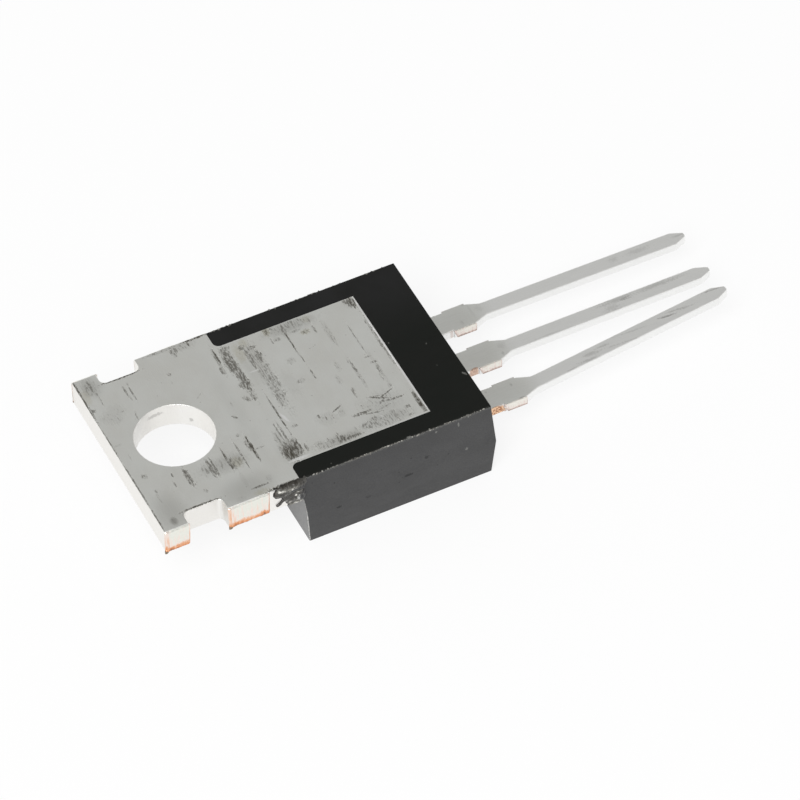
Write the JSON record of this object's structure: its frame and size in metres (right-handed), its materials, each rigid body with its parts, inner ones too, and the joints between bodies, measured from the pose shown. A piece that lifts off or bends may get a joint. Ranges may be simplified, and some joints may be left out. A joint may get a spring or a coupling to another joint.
{
  "type": "triac",
  "caption": "Power triac in a flat black moulded package with a bare, drilled metal tab for a heat sink and slim solder leads; it switches alternating current.",
  "frame": {"origin": "on the axis of the mounting hole, in the metal mounting face", "axes": "+Z out of the metal mounting face (up as it lies), +Y towards the tab's free end, leads towards -Y, +X towards the first main terminal's lead"},
  "size_m": [0.0101, 0.0294, 0.0045],
  "materials": {
    "tinned_copper": "matt tin plating on copper, bare copper where the strip's links were cut",
    "moulding_resin": "filled epoxy moulding compound, black, fine matt",
    "silicon": "sawn silicon, blue-grey and opaque",
    "soft_solder": "dull solder",
    "aluminium_wire": "drawn wire, pressed flat at each foot"
  },
  "bodies": {
    "root": {"header_with_middle_lead": "tinned_copper", "main_terminal_lead": "tinned_copper", "gate_lead": "tinned_copper", "mould_body": "moulding_resin", "triac_chip": "silicon", "chip_solder": "soft_solder", "main_bond_wires": "aluminium_wire", "gate_bond_wire": "aluminium_wire"}
  },
  "joints": []
}
